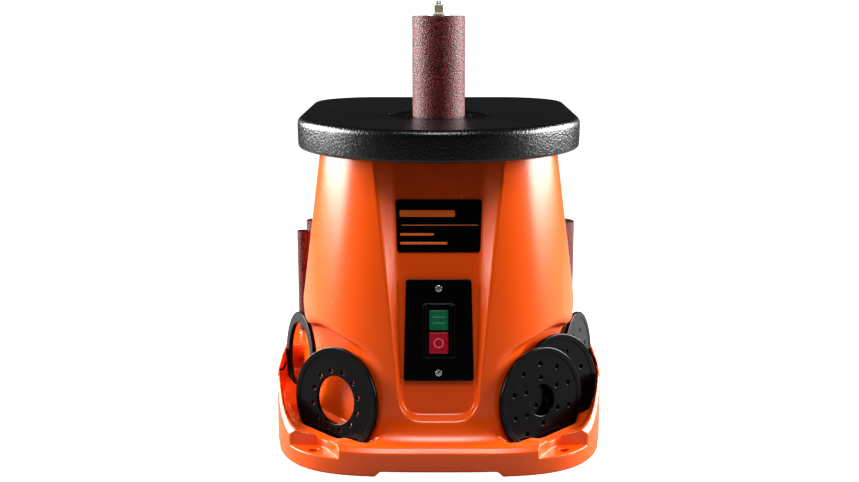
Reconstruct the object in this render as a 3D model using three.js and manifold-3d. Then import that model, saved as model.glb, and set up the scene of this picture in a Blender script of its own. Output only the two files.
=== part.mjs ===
// Oscillating spindle sander: a bench machine whose vertical sanding drum turns and
// rises and falls through a cast table, over a moulded housing that stores the other
// drums, sleeves and table inserts.
//
// Millimetres, +Z up, the operator stands on the -Y side. Every shape is drawn about the
// spindle axis (X = 0, Y = 0) with the bench at Z = 0, and the last lines move the whole
// machine so that its footprint is centred on the origin.

import * as THREE from "three";
import { mergeVertices } from "three/addons/utils/BufferGeometryUtils.js";
import Module from "manifold-3d";

const wasm = await Module();
wasm.setup();

// ---------------------------------------------------------------- driving dimensions

const GAP = 0.3;
const WALL = 3.5;

// footprint of the moulded base
const BASE_HALF_WIDTH = 170;
const BASE_FRONT = -170;
const BASE_REAR = 240;
const BASE_POWER = 3.8;
const BASE_BOTTOM = 1.5;
const LEDGE_HEIGHT = 75;
const FRONT_RIM_HEIGHT = 35;
const FRONT_SHELF_HEIGHT = 28;
const SIDE_SHELF_HEIGHT = 50;
const SKIRT_RELIEF = 6.5;
const FOOT_INNER_X = 64;
const SIDE_RELIEF = [-95, 140];

// tower: half width, front and rear reach at its top, and how they grow downwards
const TOWER_TOP = 323.5;
const TOWER_CENTRE_Y = -5;
const TOWER_HALF_WIDTH = 119;
const TOWER_FRONT = 110;
const TOWER_REAR = 176;
const SIDE_SLOPE = 0.13;
const FRONT_SLOPE = 0.12;
const REAR_SLOPE = 0.045;
const FRONT_POWER = 2.5;
const REAR_POWER = 1.72;
const FLANGE_HEIGHT = 316;
const FLANGE_WIDTH = 18;

// front recess with the control panel
const PANEL_SLOPE = 0.165;
const PANEL_TOP_Y = -99;
const PANEL_TOP_Z = 290;
const PANEL_CENTRE_Z = 135;

// table and inserts
const TABLE_TOP = 332;
const TABLE_RADIUS = 146;
const TABLE_BACK = 222;
const TABLE_CORNER = 70;
const TABLE_RIM = 31;
const TABLE_PLATE = 8;
const INSERT_RADIUS = 52.7;
const INSERT_THICKNESS = 4.8;
const INSERT_SEAT_RADIUS = 53.2;
const TABLE_BORE_RADIUS = 45;

// sanding spindle
const SLEEVE_LENGTH = 114.3;
const DRUM_BOTTOM = 318.7;
const STUD_TOP = 448;
const PEG_RADIUS = 6;
const DRUM_BORE_RADIUS = 6.35;

// drive
const DECK_BOTTOM = 136;
const DECK_TOP = 144;
const CARRIAGE_BOTTOM = 204;
const CARRIAGE_TOP = 266;
const ROD_X = 42;
const MOTOR_Y = 92;
const MOTOR_RADIUS = 56;
const MOTOR_TOP = 242;
const SPINDLE_PULLEY_RADIUS = 21;
const MOTOR_PULLEY_RADIUS = 30;
const PULLEY_BOTTOM = 112;
const PULLEY_TOP = 132;
const WORM_OUTER_RADIUS = 13;
const WHEEL_TEETH = 34;
const WHEEL_RADIUS = 22.5;
const WHEEL_Y = -(WORM_OUTER_RADIUS + WHEEL_RADIUS + 0.5);
const WHEEL_Z = 171;
const STROKE_HALF = 8;

// dust extraction
const PORT_Z = 268;
const PORT_BORE_RADIUS = 19;
const PORT_OUTER_RADIUS = 22;
const PORT_FACE_Y = 214;
const BOSS_FACE_Y = 178;
const CHUTE_BACK = 158;

// the storage slots on the right: disc centre, turn about Z, lean back, and the room behind
// and above the disc; the left side is mirrored
const SLOTS = [
  { x: 101.2, y: -118, z: 62, turn: 37, lean: 6, behind: 1.5, rise: 4 },
  { x: 120, y: -91.5, z: 68.2, turn: 39, lean: 6, behind: 6, rise: 4 },
  { x: 145.6, y: -26.5, z: 73.6, turn: 68, lean: 3, behind: 9, rise: 4 },
];
const RIM_WALL = 1.5;

// storage pegs: where each spare drum or sleeve stands on the ledge
const PEGS = [
  { size: 13, x: -152, y: 80 },
  { size: 26, x: -141.5, y: 145 },
  { size: 76, x: -103, y: 187 },
  { size: 38, x: 138.5, y: 140 },
  { size: 19, x: 95, y: 192 },
];
const PEG_PAD_TOP = 79;
const PEG_TOP = 150;

// bench bolt pockets and rubber feet
const FRONT_BOLT = [122, -139];
const REAR_BOLT = [34, 214];
const POCKET_FLOOR = 18;
const FOOT_SPOTS = [
  ["front_left", -88, -148],
  ["front_right", 88, -148],
  ["rear_left", -130, 182],
  ["rear_right", 130, 182],
];

// ------------------------------------------------------------------------- materials

function finish(color, roughness, metalness) {
  return new THREE.MeshStandardMaterial({ color, roughness, metalness });
}

const orangePlastic = finish(0xf0520f, 0.32, 0);
const blackPlastic = finish(0x141416, 0.42, 0);
const tableIron = finish(0x1b1c1f, 0.5, 0.35);
const steel = finish(0xb8bac0, 0.28, 1);
const zincPlate = finish(0xd8d2b8, 0.35, 1);
const castAlloy = finish(0x9fa3a8, 0.5, 0.9);
const darkSteel = finish(0x3a3c40, 0.45, 0.8);
const rubber = finish(0x18181a, 0.85, 0);
const abrasive = finish(0x7d2530, 0.9, 0);
const greenPlastic = finish(0x0b6b45, 0.35, 0);
const redPlastic = finish(0xb3142c, 0.35, 0);
const labelFilm = finish(0x0c0c0e, 0.3, 0);
const motorPaint = finish(0x2d3138, 0.5, 0.3);
const bronze = finish(0xa9793a, 0.4, 0.9);
const sheetSteel = finish(0x8d9196, 0.4, 0.9);

// ---------------------------------------------------------------- shapes and booleans

// A closed geometry as a solid: vertices at one place are one vertex, and its faces point out.
function toSolid(geometry) {
  const plain = geometry.clone();
  for (const attribute of Object.keys(plain.attributes)) {
    if (attribute !== "position") {
      plain.deleteAttribute(attribute);
    }
  }
  const merged = mergeVertices(plain, 1e-4);
  const corners = merged.index.array;
  const place = merged.attributes.position;
  const triangles = [];
  let volume = 0;
  const p = [new THREE.Vector3(), new THREE.Vector3(), new THREE.Vector3()];
  for (let i = 0; i < corners.length; i += 3) {
    const [a, b, c] = [corners[i], corners[i + 1], corners[i + 2]];
    if (a !== b && b !== c && c !== a) {
      triangles.push([a, b, c]);
      p[0].fromBufferAttribute(place, a);
      p[1].fromBufferAttribute(place, b);
      p[2].fromBufferAttribute(place, c);
      volume += p[0].dot(p[1].clone().cross(p[2]));
    }
  }
  const outward = volume < 0 ? triangles.map(([a, b, c]) => [a, c, b]) : triangles;
  const vertProperties = new Float32Array(place.array);
  const triVerts = new Uint32Array(outward.flat());
  return new wasm.Manifold(new wasm.Mesh({ numProp: 3, vertProperties, triVerts }));
}

function toGeometry(solid) {
  const mesh = solid.getMesh();
  const geometry = new THREE.BufferGeometry();
  geometry.setAttribute("position", new THREE.BufferAttribute(mesh.vertProperties, 3));
  geometry.setIndex(new THREE.BufferAttribute(mesh.triVerts, 1));
  geometry.computeVertexNormals();
  return geometry;
}

function join(first, ...others) {
  return toGeometry(others.reduce((sum, g) => sum.add(toSolid(g)), toSolid(first)));
}

function cut(first, ...tools) {
  return toGeometry(tools.reduce((rest, g) => rest.subtract(toSolid(g)), toSolid(first)));
}

// A turned shape about Z from [radius, z] points. A hollow one closes on its first point.
function turned(profile, segments = 20) {
  const points = profile.map(([r, z]) => new THREE.Vector2(r, z));
  return new THREE.LatheGeometry(points, segments).rotateX(Math.PI / 2);
}

function rod(radius, z0, z1, segments = 20) {
  return turned([[0, z0], [radius, z0], [radius, z1], [0, z1]], segments);
}

function tube(inner, outer, z0, z1, segments = 20) {
  return turned([[inner, z0], [outer, z0], [outer, z1], [inner, z1], [inner, z0]], segments);
}

function block(x0, x1, y0, y1, z0, z1) {
  const geometry = new THREE.BoxGeometry(x1 - x0, y1 - y0, z1 - z0);
  return geometry.translate((x0 + x1) / 2, (y0 + y1) / 2, (z0 + z1) / 2);
}

function prism(shape, z0, z1, curveSegments = 6) {
  const options = { depth: z1 - z0, bevelEnabled: false, curveSegments };
  return new THREE.ExtrudeGeometry(shape, options).translate(0, 0, z0);
}

function polygon(points) {
  return new THREE.Shape(points.map(([x, y]) => new THREE.Vector2(x, y)));
}

function hexagon(acrossFlats) {
  const corners = [];
  for (let i = 0; i < 6; i++) {
    const angle = (i * Math.PI) / 3;
    const radius = acrossFlats / Math.sqrt(3);
    corners.push([radius * Math.cos(angle), radius * Math.sin(angle)]);
  }
  return polygon(corners);
}

// A closed skin over rings of equally many points, with a flat fan at each end.
function skinned(rings) {
  const around = rings[0].length;
  const positions = rings.flat().flatMap((v) => [v.x, v.y, v.z]);
  const index = [];
  for (let k = 0; k + 1 < rings.length; k++) {
    for (let i = 0; i < around; i++) {
      const j = (i + 1) % around;
      const [a, b] = [k * around + i, k * around + j];
      const [c, d] = [a + around, b + around];
      index.push(a, b, d, a, d, c);
    }
  }
  const ends = [
    [rings[0], 0, 1],
    [rings[rings.length - 1], (rings.length - 1) * around, -1],
  ];
  for (const [ring, start, side] of ends) {
    const middle = new THREE.Vector3();
    ring.forEach((v) => middle.add(v));
    middle.divideScalar(around);
    const centre = positions.length / 3;
    positions.push(middle.x, middle.y, middle.z);
    for (let i = 0; i < around; i++) {
      const j = (i + 1) % around;
      index.push(centre, start + (side > 0 ? j : i), start + (side > 0 ? i : j));
    }
  }
  const geometry = new THREE.BufferGeometry();
  geometry.setAttribute("position", new THREE.Float32BufferAttribute(positions, 3));
  geometry.setIndex(index);
  return geometry;
}

function part(name, geometry, material, group) {
  const mesh = new THREE.Mesh(geometry, material);
  mesh.name = name;
  group.add(mesh);
  return mesh;
}

function smoothstep(t) {
  const s = Math.min(Math.max(t, 0), 1);
  return s * s * (3 - 2 * s);
}

const degrees = THREE.MathUtils.degToRad;

// ---------------------------------------------------------------------------- housing

const AROUND = 52;

function signedPower(value, power) {
  return Math.sign(value) * Math.abs(value) ** power;
}

// A point of the base outline, moved inwards by inset.
function basePoint(angle, inset, z) {
  const halfDepth = (BASE_REAR - BASE_FRONT) / 2 - inset;
  const centre = (BASE_REAR + BASE_FRONT) / 2;
  const x = (BASE_HALF_WIDTH - inset) * signedPower(Math.cos(angle), 2 / BASE_POWER);
  const y = centre + halfDepth * signedPower(Math.sin(angle), 2 / BASE_POWER);
  return new THREE.Vector3(x, y, z);
}

// A point of the tower outline at height z, moved inwards by inset.
function towerPoint(angle, inset, z) {
  const drop = TOWER_TOP - z;
  const behind = Math.sin(angle) > 0;
  const power = 2 / (behind ? REAR_POWER : FRONT_POWER);
  const reach = behind ? TOWER_REAR + REAR_SLOPE * drop : TOWER_FRONT + FRONT_SLOPE * drop;
  const halfWidth = TOWER_HALF_WIDTH + SIDE_SLOPE * drop;
  const x = (halfWidth - inset) * signedPower(Math.cos(angle), power);
  const y = TOWER_CENTRE_Y + (reach - inset) * signedPower(Math.sin(angle), power);
  return new THREE.Vector3(x, y, z);
}

// Height of the base's outer rim: low along the front, rising past the corners.
function rimHeight(y) {
  const rise = smoothstep((-62 - y) / 68);
  const dip = Math.min(Math.max((-130 - y) / 40, 0), 1);
  return LEDGE_HEIGHT - (LEDGE_HEIGHT - FRONT_RIM_HEIGHT) * rise - 5 * dip;
}

// Height of the shelf behind the rim: the inserts stand in it, and behind them it steps
// up to the ledge of the spare drums.
function shelfHeight(y) {
  const climb = (SIDE_SHELF_HEIGHT - FRONT_SHELF_HEIGHT) * smoothstep((y + 160) / 140);
  const step = (LEDGE_HEIGHT - SIDE_SHELF_HEIGHT) * smoothstep((y - 26) / 12);
  return FRONT_SHELF_HEIGHT + climb + step;
}

// The base and tower as one skin: outside with inset 0, and its hollow with inset WALL.
function bodySkin(inset, bottom, top) {
  const ring = (place) => {
    const points = [];
    for (let i = 0; i < AROUND; i++) {
      points.push(place((i * 2 * Math.PI) / AROUND));
    }
    return points;
  };
  // a point part way from the base outline to the tower's foot, at a blend of rim and shelf
  const between = (share, shelfShare) => (angle) => {
    const out = basePoint(angle, inset, 0);
    const foot = towerPoint(angle, inset, 60);
    const point = out.lerp(foot, share);
    const rim = rimHeight(point.y);
    point.z = rim + (shelfHeight(point.y) - rim) * shelfShare - inset;
    return point;
  };
  const wallTop = (angle) => {
    const point = basePoint(angle, inset + 1, 0);
    point.z = rimHeight(point.y) - 3 - inset;
    return point;
  };
  const towerFoot = (angle) => {
    const point = towerPoint(angle, inset, 0);
    return towerPoint(angle, inset, shelfHeight(point.y) + 14 - inset);
  };
  return skinned([
    ring((angle) => basePoint(angle, inset, bottom)),
    ring(wallTop),
    ring(between(0.1, 0)),
    ring(between(0.22, 0.15)),
    ring(between(0.5, 1)),
    ring(between(0.88, 1)),
    ring(towerFoot),
    ring((angle) => towerPoint(angle, inset, top)),
  ]);
}

// The front recess. Its floor is the panel plane, its walls open outwards, and grow
// moves every face of it into the material.
function recessTool(grow) {
  const outline = (halfWidth, slope, z0, corner) => {
    const points = [];
    const at = (z) => halfWidth + slope * (z - z0) + grow;
    const low = z0 - grow;
    points.push([-at(340), 340]);
    for (let i = 0; i <= 4; i++) {
      const a = (i * Math.PI) / 8;
      points.push([-at(z0) + corner * (1 - Math.cos(a)), low + corner * (1 - Math.sin(a))]);
    }
    for (let i = 4; i >= 0; i--) {
      const a = (i * Math.PI) / 8;
      points.push([at(z0) - corner * (1 - Math.cos(a)), low + corner * (1 - Math.sin(a))]);
    }
    points.push([at(340), 340]);
    return points;
  };
  const floor = outline(35.5, 0.0355, 54, 18);
  const mouth = outline(36.8, 0.09, 49, 18);
  const floorY = (z) => PANEL_TOP_Y - PANEL_SLOPE * (PANEL_TOP_Z - z) + grow;
  const depth = 11;
  const ringAt = (t) => floor.map(([x, z], i) => {
    const [mx, mz] = mouth[i];
    const px = x + (mx - x) * t;
    const pz = z + (mz - z) * t;
    return new THREE.Vector3(px, floorY(pz) - depth * t, pz);
  });
  const front = ringAt(1).map(({ x, y, z }) => new THREE.Vector3(x, y - 60, z));
  return skinned([ringAt(0), ringAt(1), front]);
}

// Turns a shape drawn flat on Z = 0, its face up, to stand in a storage slot.
function toSlot(geometry, slot, side) {
  geometry.rotateX(degrees(90 - slot.lean));
  geometry.rotateZ(degrees(side * slot.turn));
  return geometry.translate(side * slot.x, slot.y, slot.z);
}

// The groove that holds an insert's lower edge, and the scoop in the tower behind it.
function slotTools(slot, side, grow, segments) {
  const half = INSERT_THICKNESS / 2;
  const groove = rod(INSERT_RADIUS + 1 + grow, -half - 0.7 - grow, half + 0.7 + grow, segments);
  const scoop = join(...[0, slot.rise].map((up) => {
    return rod(INSERT_RADIUS + 4 + grow, -half - slot.behind - grow, half + 60, segments).translate(0, up, 0);
  }));
  const shelf = shelfHeight(slot.y);
  toSlot(groove, slot, side);
  toSlot(scoop, slot, side);
  const reach = (z) => Array.from({ length: 24 }, (_, i) => towerPoint((i * Math.PI) / 12, -7, z));
  const near = skinned([reach(shelf - grow), reach(160)]);
  const inside = (z) =>
    Array.from({ length: 32 }, (_, i) => basePoint((i * Math.PI) / 16, RIM_WALL - grow, z));
  const walled = toSolid(skinned([inside(-20), inside(180)]));
  const above = toSolid(scoop).intersect(toSolid(near));
  return [toSolid(groove), above].map((solid) => toGeometry(solid.intersect(walled)));
}

function frontPocketTool(side, grow) {
  const corners = [
    [150, -126], [138, -127], [117, -130], [109, -137],
    [96, -162], [96, -200], [180, -200], [180, -126],
  ];
  const middle = [130, -160];
  const moved = corners.map(([x, y]) => {
    const reach = Math.hypot(x - middle[0], y - middle[1]);
    const scale = 1 + (1.4 * grow) / reach;
    return [side * (middle[0] + (x - middle[0]) * scale), middle[1] + (y - middle[1]) * scale];
  });
  return prism(polygon(moved), POCKET_FLOOR - grow, 120);
}

function rearPocketTool(side, grow) {
  const [x, y] = REAR_BOLT;
  const radius = 13 + grow;
  const round = rod(radius, POCKET_FLOOR - grow, 120, 16).translate(side * x, y, 0);
  const open = block(side * x - radius, side * x + radius, y, 300, POCKET_FLOOR - grow, 120);
  return join(round, open);
}

function reliefTool(x0, x1, y0, y1) {
  const slant = SKIRT_RELIEF + 1;
  const across = polygon([[x0, -1], [x1, -1], [x1 - slant, SKIRT_RELIEF], [x0 + slant, SKIRT_RELIEF]]);
  const tool = prism(across, y0, y1);
  return tool.rotateX(Math.PI / 2).scale(1, -1, 1);
}

function housingGeometry() {
  const sides = [-1, 1];
  const boltSpots = sides.flatMap((s) => [
    [s * FRONT_BOLT[0], FRONT_BOLT[1]],
    [s * REAR_BOLT[0], REAR_BOLT[1]],
  ]);

  // outside, with the dust boss on the back and the storage pegs on the ledge
  const boss = rod(33, 130, BOSS_FACE_Y, 24).rotateX(-Math.PI / 2).translate(0, 0, PORT_Z);
  const pegs = PEGS.flatMap(({ size, x, y }) => [
    rod(SLEEVES[size].outer - 1, 60, PEG_PAD_TOP, 16).translate(x, y, 0),
    rod(PEG_RADIUS, 60, PEG_TOP, 10).translate(x, y, 0),
  ]);
  const outside = join(bodySkin(0, BASE_BOTTOM, TOWER_TOP), boss, ...pegs);

  // hollow, kept clear of the pockets, slots, recess, foot bosses and bolt columns
  const columns = [
    ...boltSpots.map(([x, y]) => rod(10, -5, 60, 12).translate(x, y, 0)),
    ...FOOT_SPOTS.map(([, x, y]) => rod(14, -5, 90, 12).translate(x, y, 0)),
  ];
  const kept = sides.flatMap((side) => [
    ...SLOTS.flatMap((slot) => slotTools(slot, side, 3, 10)),
    frontPocketTool(side, WALL),
    rearPocketTool(side, WALL),
  ]);
  const hollow = cut(bodySkin(WALL, -2, FLANGE_HEIGHT), recessTool(WALL), ...kept, ...columns);

  const slots = sides.flatMap((side) => SLOTS.flatMap((slot) => slotTools(slot, side, 0, 20)));
  const pockets = sides.flatMap((side) => [frontPocketTool(side, 0), rearPocketTool(side, 0)]);
  const boltHoles = boltSpots.map(([x, y]) => rod(4.5, -5, 30, 8).translate(x, y, 0));
  const footSeats = FOOT_SPOTS.map(([, x, y]) => rod(11 + GAP, -5, 4.5, 12).translate(x, y, 0));
  const reliefs = [
    reliefTool(-FOOT_INNER_X, FOOT_INNER_X, -260, 300),
    reliefTool(SIDE_RELIEF[0], SIDE_RELIEF[1], -260, 260).rotateZ(Math.PI / 2),
  ];
  const ringOf = (inset, z) =>
    Array.from({ length: AROUND }, (_, i) => towerPoint((i * 2 * Math.PI) / AROUND, inset, z));
  const mouth = skinned([ringOf(FLANGE_WIDTH, 300), ringOf(FLANGE_WIDTH, 330)]);
  const portHole = rod(PORT_OUTER_RADIUS + 0.5, 140, 260, 20).rotateX(-Math.PI / 2).translate(0, 0, PORT_Z);
  const glandHole = rod(8.3, 140, 260, 12).rotateX(-Math.PI / 2).translate(...GLAND_PLACE);
  const tableBoltHoles = tableBoltSpots().map(([x, y]) => rod(3.3, 300, 330, 8).translate(x, y, 0));
  const panelCuts = [
    block(-25, 25, -36, 36, -20, 12),
    rod(2.2, -20, 12, 10).translate(0, 41, 0),
    rod(2.2, -20, 12, 10).translate(0, -41, 0),
  ].map(toPanel);
  return cut(
    outside, hollow, mouth, recessTool(0), ...slots, ...pockets, ...reliefs, ...boltHoles,
    ...footSeats, portHole, glandHole, ...tableBoltHoles, ...panelCuts,
  );
}

function tableBoltSpots() {
  return [35, 145, 225, 315].map((angle) => {
    const point = towerPoint(degrees(angle), 11, FLANGE_HEIGHT);
    return [point.x, point.y];
  });
}

// The floor plate stays clear of the slots and the bolt and foot columns.
function basePlateGeometry() {
  const right = [[46, -156], [46, -128], [68, -98], [102, -62], [102, 38], [154, 38], [154, 160]];
  const left = right.map(([x, y]) => [-x, y]).reverse();
  return prism(polygon([...right, ...left]), SKIRT_RELIEF + 0.5, SKIRT_RELIEF + 2.5);
}

// ------------------------------------------------------------------ table and inserts

// The table outline: half round about the spindle in front, rounded corners behind.
function tableRing(inset, z) {
  const points = [];
  const arc = (cx, cy, radius, from, to, steps) => {
    for (let i = 0; i <= steps; i++) {
      const a = degrees(from + ((to - from) * i) / steps);
      points.push(new THREE.Vector3(cx + radius * Math.cos(a), cy + radius * Math.sin(a), z));
    }
  };
  const corner = TABLE_CORNER - inset;
  arc(0, 0, TABLE_RADIUS - inset, 180, 360, 22);
  arc(TABLE_RADIUS - TABLE_CORNER, TABLE_BACK - TABLE_CORNER, corner, 0, 90, 5);
  arc(TABLE_CORNER - TABLE_RADIUS, TABLE_BACK - TABLE_CORNER, corner, 90, 180, 5);
  return points;
}

function tableGeometry() {
  const bottom = TABLE_TOP - TABLE_RIM;
  const underside = TABLE_TOP - TABLE_PLATE;
  const solid = skinned([
    tableRing(3.5, bottom),
    tableRing(0.8, bottom + 2.2),
    tableRing(0, TABLE_TOP - 7),
    tableRing(1.6, TABLE_TOP - 2.4),
    tableRing(6, TABLE_TOP),
  ]);
  const hollow = skinned([tableRing(9, bottom - 1), tableRing(9, underside)]);
  const seat = rod(INSERT_SEAT_RADIUS, TABLE_TOP - INSERT_THICKNESS - GAP, TABLE_TOP + 5, 28);
  const bore = rod(TABLE_BORE_RADIUS, 300, TABLE_TOP + 5, 28);
  const boltHoles = tableBoltSpots().map(([x, y]) => rod(3.3, 300, TABLE_TOP - 2, 8).translate(x, y, 0));
  return cut(solid, hollow, seat, bore, ...boltHoles);
}

// An insert lying face up with its mid-plane at Z = 0: a disc, its drum hole and its
// rings of dust holes.
const INSERTS = {
  13: { hole: 8.5, rings: [[6, 16, 2.2], [8, 33, 2.2]] },
  19: { hole: 11.5, rings: [[6, 20, 2.2], [8, 35, 2.2]] },
  26: { hole: 15.5, rings: [[6, 23, 2.2], [10, 37, 2.2]] },
  38: { hole: 24, rings: [[12, 29.5, 2.1]] },
  51: { hole: 28.8, rings: [[12, 36, 2.2]] },
  76: { hole: 41.5, rings: [] },
};

function insertGeometry(size) {
  const half = INSERT_THICKNESS / 2;
  const { hole, rings } = INSERTS[size];
  const disc = tube(hole, INSERT_RADIUS, -half, half, 28);
  const holes = rings.flatMap(([count, radius, holeRadius]) => {
    return Array.from({ length: count }, (_, i) => {
      const a = ((i + 0.5) * 2 * Math.PI) / count;
      return rod(holeRadius, -5, 5, 5).translate(radius * Math.cos(a), radius * Math.sin(a), 0);
    });
  });
  return holes.length ? cut(disc, ...holes) : disc;
}

// -------------------------------------------------------------------- control panel

const panelTilt = Math.atan(PANEL_SLOPE);

// Moves a shape drawn on the panel (X across, Y up the slope, Z out of it) onto the machine.
function toPanel(geometry) {
  geometry.rotateX(Math.PI / 2 - panelTilt);
  const y = PANEL_TOP_Y - PANEL_SLOPE * (PANEL_TOP_Z - PANEL_CENTRE_Z);
  return geometry.translate(0, y, PANEL_CENTRE_Z);
}

function roundedTrapezoid(bottomHalf, topHalf, y0, y1, corner) {
  const shape = new THREE.Shape();
  shape.moveTo(-bottomHalf + corner, y0);
  shape.lineTo(bottomHalf - corner, y0);
  shape.quadraticCurveTo(bottomHalf, y0, bottomHalf, y0 + corner);
  shape.lineTo(topHalf, y1 - corner);
  shape.quadraticCurveTo(topHalf, y1, topHalf - corner, y1);
  shape.lineTo(-topHalf + corner, y1);
  shape.quadraticCurveTo(-topHalf, y1, -topHalf, y1 - corner);
  shape.lineTo(-bottomHalf, y0 + corner);
  shape.quadraticCurveTo(-bottomHalf, y0, -bottomHalf + corner, y0);
  return shape;
}

const BUTTON_HALF_WIDTH = 9.3;
const START_Y = [0.6, 20.2];
const STOP_Y = [-22, -1.4];

function switchPlateGeometry() {
  const plate = prism(roundedTrapezoid(34.4, 31.8, -49, 50, 3), GAP, 3.4, 3);
  const cheek = (side) => block(side < 0 ? -15.4 : 11.6, side < 0 ? -11.6 : 15.4, -3, 26, 2, 7.4);
  const fence = block(-15.4, 15.4, -26, 26, 2, 4.6);
  const openings = [START_Y, STOP_Y].map(([low, high]) => {
    return block(-BUTTON_HALF_WIDTH - 0.4, BUTTON_HALF_WIDTH + 0.4, low - 0.4, high + 0.4, -5, 12);
  });
  const screwHoles = [-41, 41].map((y) => rod(2.2, -5, 10, 10).translate(0, y, 0));
  return toPanel(cut(join(plate, fence, cheek(-1), cheek(1)), ...openings, ...screwHoles));
}

function switchBodyGeometry() {
  const body = block(-24.5, 24.5, -35.5, 35.5, -44, 0);
  const well = block(-14, 14, -26, 26, -14, 5);
  const terminals = [-12, 0, 12].map((x) => block(x - 3, x + 3, -10, 10, -52, -40));
  return toPanel(join(cut(body, well), ...terminals));
}

function buttonGeometry([low, high], top) {
  const w = BUTTON_HALF_WIDTH;
  const cap = block(-w, w, low, high, -8, top);
  const flange = block(-w - 1.6, w + 1.6, low + 0.2, high - 0.2, -2.2, -0.2);
  return toPanel(join(cap, flange));
}

function screwGeometry(y) {
  const head = rod(3.3, 3.6, 5.6, 12);
  const slot = block(-4, 4, -0.5, 0.5, 5, 7);
  const shank = rod(1.8, -9, 4, 10);
  return toPanel(cut(join(head, shank), slot).translate(0, y, 0));
}

function labelGeometry() {
  return toPanel(prism(roundedTrapezoid(40.3, 41.8, 76, 127, 3.5), GAP, 1.1, 3));
}

// ------------------------------------------------------------------- sanding spindle

// Outer radius of each sleeve and the wall of its abrasive tube.
const SLEEVES = {
  13: { outer: 7.4, wall: 0.95 },
  19: { outer: 10.7, wall: 1.5 },
  26: { outer: 14.3, wall: 1.5 },
  38: { outer: 20.4, wall: 1.5 },
  51: { outer: 27.2, wall: 1.5 },
  76: { outer: 39.6, wall: 1.5 },
};

function sleeveGeometry(size, z0) {
  const { outer, wall } = SLEEVES[size];
  const segments = outer > 25 ? 28 : 16;
  return tube(outer - wall, outer, z0, z0 + SLEEVE_LENGTH, segments);
}

function drumGeometry(size, z0) {
  const { outer, wall } = SLEEVES[size];
  const segments = outer > 25 ? 28 : 16;
  const radius = outer - wall - GAP;
  return tube(DRUM_BORE_RADIUS, radius, z0 + 0.6, z0 + SLEEVE_LENGTH - 0.6, segments);
}

function spindleGeometry() {
  const upper = turned([
    [0, 204.5], [6, 204.5], [6, 215.6], [7.5, 215.6], [7.5, 254.4], [6, 254.4], [6, 265.3],
    [7.5, 265.3], [7.5, 309], [10, 309], [10, 315.4], [6, 315.4], [6, 432], [4.7, 432.6],
    [4.7, STUD_TOP - 1], [3.9, STUD_TOP], [0, STUD_TOP],
  ], 14);
  return join(upper, prism(hexagon(10.4), 104, 205));
}

function nutGeometry() {
  const bottom = DRUM_BOTTOM + SLEEVE_LENGTH + 3.1;
  return cut(prism(hexagon(17), bottom, bottom + 8.6), rod(5, 400, 460, 12));
}

// ------------------------------------------------------------ lift carriage and drive

const PIN_RADIUS = 3;
const YOKE_X = [12, 17];

function carriageGeometry() {
  const [low, high] = [CARRIAGE_BOTTOM, CARRIAGE_TOP];
  const barrel = rod(22, low, high, 20);
  const arms = block(-ROD_X, ROD_X, -8, 8, 222, 248);
  const eyes = [-ROD_X, ROD_X].map((x) => rod(10, 218, 252, 14).translate(x, 0, 0));
  const yoke = block(YOKE_X[0], YOKE_X[1], -54, -12, 156, 222);
  const bores = [
    rod(14.2, low - 1, low + 9.3, 16),
    rod(14.2, high - 9.3, high + 1, 16),
    rod(9.5, low, high, 16),
    ...[-ROD_X, ROD_X].map((x) => rod(5.4, 200, 270, 12).translate(x, 0, 0)),
  ];
  const slot = block(YOKE_X[0] - 2, YOKE_X[1] + 2, WHEEL_Y - 12, WHEEL_Y + 12, WHEEL_Z - 3.6, WHEEL_Z + 3.6);
  const clearance = block(YOKE_X[0] - 1, YOKE_X[1] + 1, -22, 0, 150, CARRIAGE_BOTTOM);
  return cut(join(barrel, arms, ...eyes, yoke), ...bores, slot, clearance);
}

function deckGeometry() {
  const outline = polygon([[-70, -52], [70, -52], [70, 68], [44, 150], [-44, 150], [-70, 68]]);
  const deck = prism(outline, DECK_BOTTOM, DECK_TOP);
  const postTop = TABLE_TOP - TABLE_PLATE - GAP;
  const posts = POSTS.map(([x, y]) => rod(5, DECK_BOTTOM, postTop, 12).translate(x, y, 0));
  const ear = block(-14, -9, WHEEL_Y - 10, WHEEL_Y + 10, DECK_TOP - 1, WHEEL_Z + 12);
  const holes = [
    rod(17.2, 100, 200, 16),
    rod(9, 100, 200, 16).translate(0, MOTOR_Y, 0),
    ...[-ROD_X, ROD_X].map((x) => rod(5.4, 100, 200, 12).translate(x, 0, 0)),
  ];
  const axleHole = rod(4.3, -20, 0, 12).rotateY(Math.PI / 2).translate(0, WHEEL_Y, WHEEL_Z);
  return cut(join(deck, ...posts, ear), ...holes, axleHole);
}

const POSTS = [[-54, -22], [54, -22], [-63, 58], [63, 58]];

function bridgeGeometry() {
  const bar = block(-60, 60, -30, 10, 277, 284);
  const holes = [
    rod(10, 270, 290, 16),
    ...[-ROD_X, ROD_X].map((x) => rod(5.4, 270, 290, 12).translate(x, 0, 0)),
    ...POSTS.slice(0, 2).map(([x, y]) => rod(5.4, 270, 290, 12).translate(x, y, 0)),
  ];
  return cut(bar, ...holes);
}

function spindlePulleyGeometry() {
  const r = SPINDLE_PULLEY_RADIUS;
  const turnedPart = turned([
    [0, PULLEY_BOTTOM], [r + 3, PULLEY_BOTTOM], [r + 3, PULLEY_BOTTOM + 2], [r, PULLEY_BOTTOM + 2.6],
    [r, PULLEY_TOP - 2.6], [r + 3, PULLEY_TOP - 2], [r + 3, PULLEY_TOP], [13, PULLEY_TOP],
    [13, 135], [10.3, 135], [10.3, 150.5], [8.6, 150.5], [8.6, 194], [0, 194],
  ], 18);
  return cut(turnedPart, prism(hexagon(11.2), 100, 200));
}

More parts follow.
